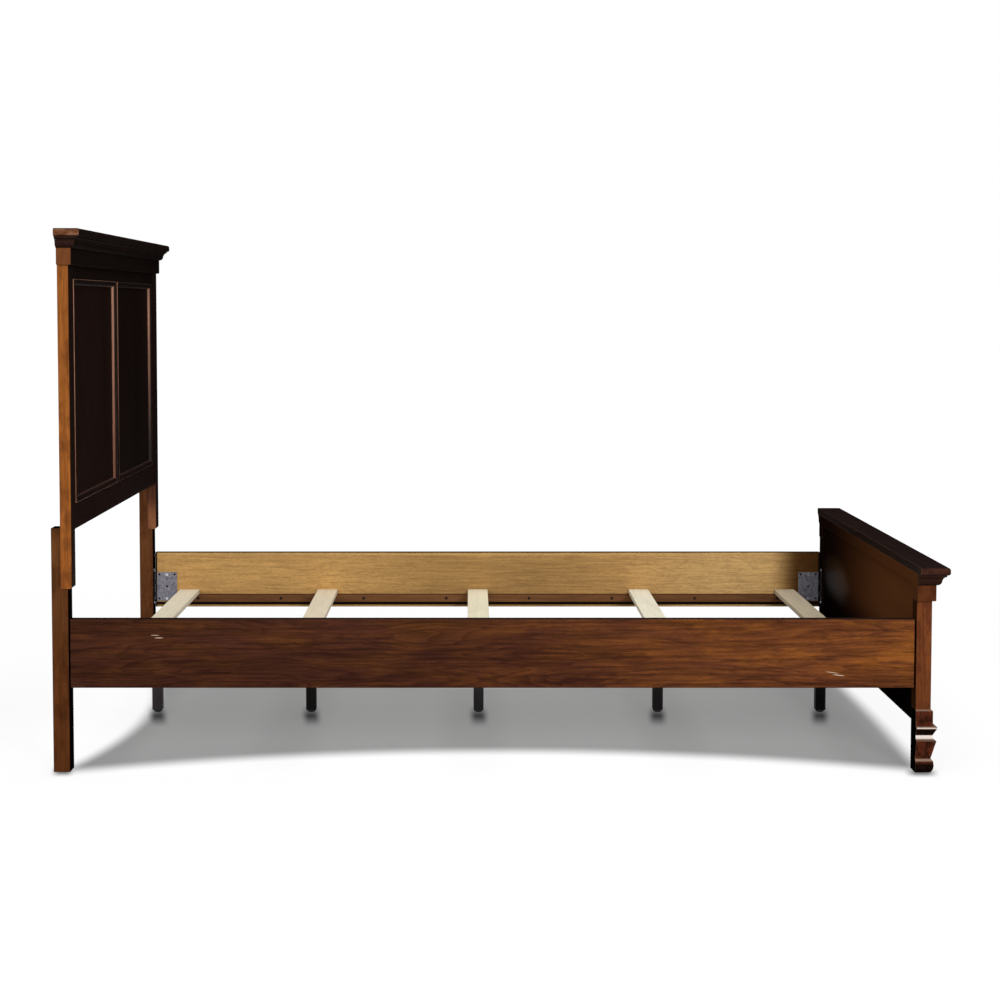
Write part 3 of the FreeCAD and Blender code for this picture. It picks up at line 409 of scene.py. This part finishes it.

# painted light and shade on the foot: lighter tops and highlight lines, darker undersides, darker near the
# floor
footLook = {"along": "z", "face": (6, 4, 3), "side": (96, 46, 30), "litTop": (112, 86, 70),
            "recess": (18, 10, 7), "sideLow": (20, 11, 8), "sideSpan": (0.018, 0.027), "rough": 0.45,
            "sideFaces": "Outward", "edgeMarkWidth": 0.0014, "edgeMarkAmount": 0.3, "bare": (186, 156, 136),
            "depth": boldFigure, "specular": 0.0, "patch": ((34, 18, 11), 0.85, (55.0, 55.0, 45.0)),
            "highlightLines": [(0.103, 0.1063, (226, 206, 194)), (0.0785, 0.0865, (240, 226, 218)),
                      (0.1428, 0.146, (142, 114, 98)), (0.0268, 0.0315, (160, 134, 116))]}
dress(["footboard_foot_left"], stainedWood("footLeftStain", {**footLook, "shift": (1.2, 9.9, 2.7)}))
dress(["footboard_foot_right"], stainedWood("footRightStain", {**footLook, "shift": (4.9, 7.3, 9.7)}))
print("footboard finished")

# side rails and cleats

railLook = {
    "along": "x", "shift": (2.1, 0.4, 5.3), "stretch": (2.0, 17.0, 17.0), "fibre": (7.0, 190.0, 190.0),
    "rings": 14.0, "thin": 2.0, "rough": 0.5,
    # outside lighter from head to foot: painted light
    "headEnd": (69, 36, 22), "footEnd": (113, 62, 30), "outsideDepth": railFigure,
    "scuffed": (206, 182, 158),
    "blotches": [  # stain that took golden or plum, tone at the head and at the foot
        {"head": (88, 50, 22), "foot": (152, 88, 30), "amount": 0.45, "scale": (8.0, 25.0, 25.0)},
        {"head": (54, 26, 24), "foot": (84, 43, 31), "amount": 0.45, "scale": (6.0, 18.0, 18.0)},
    ],
    "outsidePores": {"Tone": linear((40, 21, 15)), "Amount": 0.2, "Scale": (70.0, 330.0, 330.0)},
    "inside": (210, 163, 100), "insideMiddle": (186, 144, 87), "insideHighlight": (232, 188, 121),
    "insideFootShadow": (94, 60, 28),
    "middleSpan": (0.1, 0.5), "highlightSpan": (0.3, 0.7), "footShadowSpan": (0.795, 0.885),  # metres from the middle
    "insideDepth": {"spread": 0.26, "flames": 0.6, "fibres": 0.26},
    "insidePores": {"Tone": linear((112, 78, 38)), "Amount": 0.26, "Scale": (90.0, 420.0, 420.0)},
    "edge": (34, 19, 13), "pale": (206, 166, 106), "paleSpan": (0.344, 0.349),  # pale strip near the top
    "cleatShadowAndEnds": (30, 18, 12), "cleatShadowSpan": (0.2, 0.2085), "betweenDarkEnds": (-0.9705, 0.9415),
}
railScuffs = [  # along, up, half length, half height, rise; in metres on the right rail's outer face
    (-0.783, 0.3153, 0.011, 0.0008, 0.0), (-0.774, 0.3093, 0.011, 0.0011, 0.0),
    (0.760, 0.2297, 0.016, 0.0008, -0.14), (0.775, 0.2234, 0.015, 0.0011, -0.11),
]


def scuffMask(tree, scuffs):  # short pale scratches
    spot = apart(tree, put(tree, "ShaderNodeTexCoord").outputs["Object"])
    mask = 0.0
    for along, up, length, height, rise in scuffs:
        run = sums(tree, "SUBTRACT", spot["X"], along)
        climb = sums(tree, "SUBTRACT", spot["Z"], up)
        climb = sums(tree, "SUBTRACT", climb, sums(tree, "MULTIPLY", run, rise))
        away = roundAway(tree, run, climb, length, height)
        mask = sums(tree, "MAXIMUM", mask, spread(tree, away, 1.1, 0.35))
    return mask


def headToFoot(tree, faces, grain, head, foot, depth):
    head = woodCoat(tree, grain, head, depth)
    foot = woodCoat(tree, grain, foot, depth)
    return blendColours(tree, faces["Along"], head, foot)


def railWood(name, look, scuffs):  # flame-figured outside, pale unstained inside
    material, tree, shader = newMaterial(name)
    grain = grainOf(tree, look)
    faces = place(tree, bedFaces)
    outside = headToFoot(tree, faces, grain, look["headEnd"], look["footEnd"], look["outsideDepth"])
    for stain in look["blotches"]:
        tone = headToFoot(tree, faces, grain, stain["head"], stain["foot"], look["outsideDepth"])
        uneven = place(tree, patchyStain, Color=outside, Tone=tone, Amount=stain["amount"],
                       Scale=stain["scale"])
        outside = uneven["Color"]
    outside = place(tree, patchyStain, Color=outside, **look["outsidePores"])["Color"]
    if scuffs:
        outside = blendColours(tree, scuffMask(tree, scuffs), outside, linear(look["scuffed"]))
    inside = woodCoat(tree, grain, look["inside"], look["insideDepth"])
    # painted highlight: lighter toward the foot end; darker in the middle
    light = woodCoat(tree, grain, look["insideHighlight"], look["insideDepth"])
    inside = blendColours(tree, spread(tree, faces["Length"], *look["highlightSpan"]), inside, light)
    middle = woodCoat(tree, grain, look["insideMiddle"], look["insideDepth"])
    off = sums(tree, "ABSOLUTE", faces["Length"])
    inside = blendColours(tree, spread(tree, off, *look["middleSpan"]), middle, inside)
    # painted shadow of the footboard near the foot end
    footShadowed = woodCoat(tree, grain, look["insideFootShadow"], look["insideDepth"])
    inside = blendColours(tree, band(tree, faces["Up"], *look["paleSpan"]), inside, linear(look["pale"]))
    inside = blendColours(tree, spread(tree, faces["Length"], *look["footShadowSpan"]), inside, footShadowed)
    # painted shadow in a band under the cleat; darker at both ends too
    undarkened = sums(tree, "SUBTRACT", 1.0, band(tree, faces["Up"], *look["cleatShadowSpan"]))
    undarkened = sums(tree, "MULTIPLY", undarkened, band(tree, faces["Length"], *look["betweenDarkEnds"]))
    inside = place(tree, patchyStain, Color=inside, **look["insidePores"])["Color"]
    inside = blendColours(tree, undarkened, linear(look["cleatShadowAndEnds"]), inside)
    edge = woodCoat(tree, grain, look["edge"], quietFigure)
    colour = blendColours(tree, faces["Outward"], edge, outside)
    colour = blendColours(tree, faces["Inward"], colour, inside)
    finishWood(tree, shader, colour, grain, look)
    return material


dress(["side_rail_right"], railWood("rightRailStain", railLook, railScuffs))
dress(["side_rail_left"], railWood("leftRailStain", {**railLook, "shift": (1.6, 8.4, 4.3)}, []))

cleatLook = {"along": "x", "face": (84, 52, 32), "side": (118, 78, 48), "shift": (3.1, 7.4, 2.3),
             "rough": 0.55, "depth": quietFigure, "edgeMarkAmount": 0.15}
dress(["slat_cleat_left", "slat_cleat_right"], stainedWood("cleatStain", cleatLook))
print("rails and cleats finished")

# slats: bare pine

slatLook = {"along": "y", "rings": 6.0, "rough": 0.62, "specular": 0.15,
            "depth": {"spread": 0.1, "flames": 0.9, "fibres": 0.12}}
# the last slat darker: painted shadow of the footboard
slatTones = ((226, 214, 189), (226, 212, 185), (231, 221, 192), (234, 226, 203), (189, 175, 149))


def pineWood(name, look):
    material, tree, shader = newMaterial(name)
    grain = grainOf(tree, look)
    colour = woodCoat(tree, grain, look["colour"], look["depth"])
    finishWood(tree, shader, colour, grain, look)
    return material


for count, tone in enumerate(slatTones, 1):
    shift = (2.3 * count, 1.7 * count, 0.9 * count)
    dress([f"slat_{count}"], pineWood(f"slatPine{count}", {**slatLook, "colour": tone, "shift": shift}))
print("slats finished")

# support legs: black paint on wood

supportLook = {"along": "z", "shift": (4.0, 4.0, 1.0), "rough": 0.4, "specular": 0.06, "bump": 0.2,
               "depth": {"spread": 0.25, "flames": 0.4, "fibres": 0.3}}
supportLitAndShadedTones = ((72, 66, 69), (32, 30, 29), (64, 62, 63), (48, 44, 44), (12, 11, 11))  # head to foot; one black paint, lighter and darker per leg as painted light and shade
for count, tone in enumerate(supportLitAndShadedTones, 1):
    dress([f"support_leg_{count}"], pineWood(f"supportPaint{count}", {**supportLook, "colour": tone}))

# metal and plastic

metalLooks = {
    "rail_hook_plates": {"colour": (132, 131, 137), "rough": 0.5, "metal": 0.6, "spangle": 0.5,
                         "middle": -0.0145, "hooks": (0.9555, 0.9575), "hookDark": (22, 20, 20)},
    # keeper plates darker than the hook plates: painted shade in the gap
    "keeper_plates": {"colour": (70, 72, 78), "rough": 0.5, "metal": 0.7},
    "bracket_screws": {"colour": (196, 198, 204), "rough": 0.3, "metal": 0.9},
    "cleat_screws": {"colour": (34, 26, 24), "rough": 0.5, "metal": 0.4},
    "headboard_leg_bolts": {"colour": (150, 148, 144), "rough": 0.35, "metal": 0.9},
    "support_leg_bolts": {"colour": (176, 174, 170), "rough": 0.3, "metal": 0.9},
    "support_leg_inserts": {"colour": (196, 164, 96), "rough": 0.35, "metal": 1.0},
}


def platedMetal(name, look):  # dull plating with cloudy spangle and lighter rubbed edges
    material, tree, shader = newMaterial(name)
    where = put(tree, "ShaderNodeTexCoord")
    cloud = spread(tree, noise(tree, where.outputs["Object"], 140.0, 4.0, 0.6), 0.3, 0.7)
    speck = spread(tree, noise(tree, where.outputs["Object"], 900.0, 2.0, 0.5), 0.4, 0.75)
    dark, middle, light = tones(look["colour"], look.get("spangle", 0.3))
    colour = blendColours(tree, cloud, dark, middle)
    edgeMarkMask = place(tree, edgeMarks, Width=0.0015)["Edge Mask"]
    colour = blendColours(tree, edgeMarkMask, colour, light)
    if "hooks" in look:  # darker on the hooks, far from the middle of the rail
        along = apart(tree, where.outputs["Object"])["X"]
        off = sums(tree, "ABSOLUTE", sums(tree, "SUBTRACT", along, look["middle"]))
        colour = blendColours(tree, spread(tree, off, *look["hooks"]), colour, linear(look["hookDark"]))
    feed(tree, shader.inputs["Base Color"], colour)
    feed(tree, shader.inputs["Roughness"], sums(tree, "MULTIPLY_ADD", speck, 0.18, look["rough"]))
    shader.inputs["Metallic"].default_value = look["metal"]
    return material


for name, look in metalLooks.items():
    dress([name], platedMetal(name + "Plating", look))
stems = [f"glide_stem_{count}" for count in range(1, 6)]
dress(stems, platedMetal("stemPlating", {"colour": (170, 170, 172), "rough": 0.3, "metal": 1.0}))

padLook = {"colour": (30, 30, 31), "rough": 0.55}


def mouldedPlastic(name, look):
    material, tree, shader = newMaterial(name)
    where = put(tree, "ShaderNodeTexCoord")
    speck = noise(tree, where.outputs["Object"], 700.0, 3.0, 0.6)
    dark, middle, light = tones(look["colour"], 0.3)
    feed(tree, shader.inputs["Base Color"], blendColours(tree, speck, dark, light))
    feed(tree, shader.inputs["Roughness"], sums(tree, "MULTIPLY_ADD", speck, 0.2, look["rough"]))
    bump = put(tree, "ShaderNodeBump")
    bump.inputs["Strength"].default_value = 0.2
    bump.inputs["Distance"].default_value = 0.0003
    feed(tree, bump.inputs["Height"], speck)
    feed(tree, shader.inputs["Normal"], bump.outputs["Normal"])
    return material


dress([f"glide_pad_{count}" for count in range(1, 6)], mouldedPlastic("padPlastic", padLook))

dowelLook = {**slatLook, "colour": (196, 160, 116), "shift": (1.0, 2.0, 3.0)}
dress(["frame_dowels"], pineWood("dowelBeech", dowelLook))
print("supports and fittings finished")

# stage: pale floor, soft light, camera

stageLook = {"floorSize": 60.0, "floor": 0.16, "glow": 0.86, "farGlow": 0.14, "shade": 0.18, "bounce": 0.32,
             "ambient": 0.45}
poolLook = {"middle": 0.0365, "sway": 0.195, "half": 0.943, "edge": 0.03, "flare": 0.15, "depth": 0.342,
            "bow": 0.178, "fade": 0.052, "limit": (1.7, 1.35)}  # shade below the bed, metres
contactSpots = [  # painted contact shadows: along, across, half sizes
    (-0.877, 0.0, 0.03, 0.13), (-0.478, 0.0, 0.03, 0.13), (-0.043, 0.0, 0.03, 0.13),
    (0.422, 0.0, 0.03, 0.13), (0.844, 0.0, 0.03, 0.13),
    (-0.9985, -0.515, 0.03, 0.05), (0.966, -0.525, 0.045, 0.045),
]
contactLean = 4.2  # metres to where the contact shade points
flagLook = {"place": (0.0, 1.9, 0.0), "wide": 9.0, "high": 3.2}  # dark card that only gloss sees


def sheetObject(name, corners, material):
    mesh = bpy.data.meshes.new(name)
    mesh.from_pydata(corners, [], [(0, 1, 2, 3)])
    mesh.materials.append(material)
    sheet = bpy.data.objects.new(name, mesh)
    bpy.context.scene.collection.objects.link(sheet)
    return sheet


def seenDirectly(tree):  # 1 for the camera, mirrors and glass
    rays = put(tree, "ShaderNodeLightPath").outputs
    return sums(tree, "MAXIMUM", rays["Is Camera Ray"], sums(tree, "MAXIMUM", rays["Is Glossy Ray"],
                                                             rays["Is Transmission Ray"]))


def poolMask(tree, spot, look):  # soft shade whose front and back edges bow in
    square = sums(tree, "MULTIPLY", spot["Y"], spot["Y"])
    off = sums(tree, "MULTIPLY_ADD", square, look["sway"], spot["X"])
    off = sums(tree, "ABSOLUTE", sums(tree, "SUBTRACT", off, look["middle"]))
    reach = sums(tree, "SUBTRACT", off, sums(tree, "MULTIPLY", square, look["flare"]))
    sides = spread(tree, reach, look["half"] + look["edge"], look["half"] - look["edge"])
    bowed = sums(tree, "MULTIPLY", spot["X"], spot["X"])
    bowed = sums(tree, "MULTIPLY_ADD", bowed, look["bow"], look["depth"])
    past = sums(tree, "SUBTRACT", sums(tree, "ABSOLUTE", spot["Y"]), bowed)
    return sums(tree, "MULTIPLY", sides, spread(tree, past, look["fade"], -look["fade"]))


def contactMask(tree, spot, spots):  # painted contact shadow where a foot or support meets the floor
    mask = 0.0
    for along, across, wide, deep in spots:
        forward = sums(tree, "SUBTRACT", spot["Y"], across)
        lean = sums(tree, "MULTIPLY", forward, along / contactLean)
        beside = sums(tree, "SUBTRACT", sums(tree, "SUBTRACT", spot["X"], along), lean)
        beside = spread(tree, sums(tree, "ABSOLUTE", beside), wide, wide * 0.2)
        before = spread(tree, sums(tree, "ABSOLUTE", forward), deep, 0.0)
        mask = sums(tree, "MAXIMUM", mask, sums(tree, "MULTIPLY", beside, before))
    return mask


def makeFloor(look):
    half = look["floorSize"] / 2
    material, tree, shader = newMaterial("floorPaper")
    shader.inputs["Roughness"].default_value = 0.9
    shader.inputs["Specular IOR Level"].default_value = 0.0
    position = put(tree, "ShaderNodeNewGeometry").outputs["Position"]
    length = put(tree, "ShaderNodeVectorMath", operation="LENGTH")
    feed(tree, length.inputs[0], position)
    distant = spread(tree, length.outputs["Value"], 1.5, 6.0)
    glow = sums(tree, "MULTIPLY_ADD", distant, look["farGlow"], look["glow"])
    spot = apart(tree, position)
    below = spread(tree, length.outputs["Value"], *poolLook["limit"])
    lit = sums(tree, "SUBTRACT", 1.0, sums(tree, "MULTIPLY", poolMask(tree, spot, poolLook), below))
    clear = sums(tree, "MULTIPLY_ADD", contactMask(tree, spot, contactSpots), -0.8, 1.0)
    paper = (look["floor"], look["floor"], look["floor"], 1)
    feed(tree, shader.inputs["Base Color"], blendColours(tree, clear, (0, 0, 0, 1), paper))
    shown = sums(tree, "MULTIPLY_ADD", sums(tree, "SUBTRACT", glow, look["shade"]), lit, look["shade"])
    shown = sums(tree, "MULTIPLY", shown, clear)
    shader.inputs["Emission Strength"].default_value = 1.0
    feed(tree, shader.inputs["Emission Color"],
         sums(tree, "MULTIPLY", shown, sums(tree, "MAXIMUM", seenDirectly(tree), look["bounce"])))
    corners = [(-half, -half, 0), (half, -half, 0), (half, half, 0), (-half, half, 0)]
    floor = sheetObject("studioFloor", corners, material)
    floor.location.z = -0.0005


def makeFlag(look):
    material, tree, shader = newMaterial("flagCloth")
    shader.inputs["Base Color"].default_value = (0.002, 0.002, 0.002, 1)
    shader.inputs["Roughness"].default_value = 1.0
    shader.inputs["Specular IOR Level"].default_value = 0.0
    half, high = look["wide"] / 2, look["high"]
    corners = [(-half, 0, 0), (half, 0, 0), (half, 0, high), (-half, 0, high)]
    flag = sheetObject("studioFlag", corners, material)
    flag.location = look["place"]
    flag.visible_camera = flag.visible_diffuse = flag.visible_shadow = flag.visible_transmission = False


def makeWorld(look):
    world = bpy.data.worlds.new("studioWorld")
    world.use_nodes = True
    world.cycles.sampling_method = "NONE"
    bpy.context.scene.world = world
    tree = world.node_tree
    background = tree.nodes["Background"]
    background.inputs["Color"].default_value = (1, 1, 1, 1)
    feed(tree, background.inputs["Strength"],
         sums(tree, "MULTIPLY_ADD", seenDirectly(tree), 1.0 - look["ambient"], look["ambient"]))


lampLooks = {
    "keySoftbox": {"place": (1.9, -5.0, 2.4), "aim": (0.1, 0, 0.4), "size": (1.4, 1.4), "power": 130.0},
    "fillSoftbox": {"place": (-2.2, -5.0, 2.2), "aim": (0.0, 0, 0.5), "size": (2.4, 2.0), "power": 60.0},
    "topSoftbox": {"place": (0.2, 0.0, 4.2), "aim": (0, 0, 0), "size": (3.5, 2.5), "power": 75.0},
}


def makeLamp(name, look):
    lamp = bpy.data.lights.new(name, "AREA")
    lamp.shape = "RECTANGLE"
    lamp.size, lamp.size_y = look["size"]
    lamp.energy = look["power"]
    holder = bpy.data.objects.new(name, lamp)
    holder.location = look["place"]
    facing = Vector(look["aim"]) - Vector(look["place"])
    holder.rotation_euler = facing.to_track_quat("-Z", "Y").to_euler()
    bpy.context.scene.collection.objects.link(holder)


makeFloor(stageLook)
makeFlag(flagLook)
makeWorld(stageLook)
for name, look in lampLooks.items():
    makeLamp(name, look)

cameraLook = {"place": (-0.0655, -4.248, 1.0651), "tiltDown": 2.85, "lens": 59.45,
              "shift": (0.030, -0.1122)}
camera = bpy.data.cameras.new("photoCamera")
camera.lens = cameraLook["lens"]
camera.sensor_width = 36.0
camera.shift_x, camera.shift_y = cameraLook["shift"]
holder = bpy.data.objects.new("photoCamera", camera)
holder.location = cameraLook["place"]
holder.rotation_euler = (math.radians(90 - cameraLook["tiltDown"]), 0, 0)
bpy.context.scene.collection.objects.link(holder)
bpy.context.scene.camera = holder
bpy.context.scene.view_settings.view_transform = "Standard"
print("stage set")
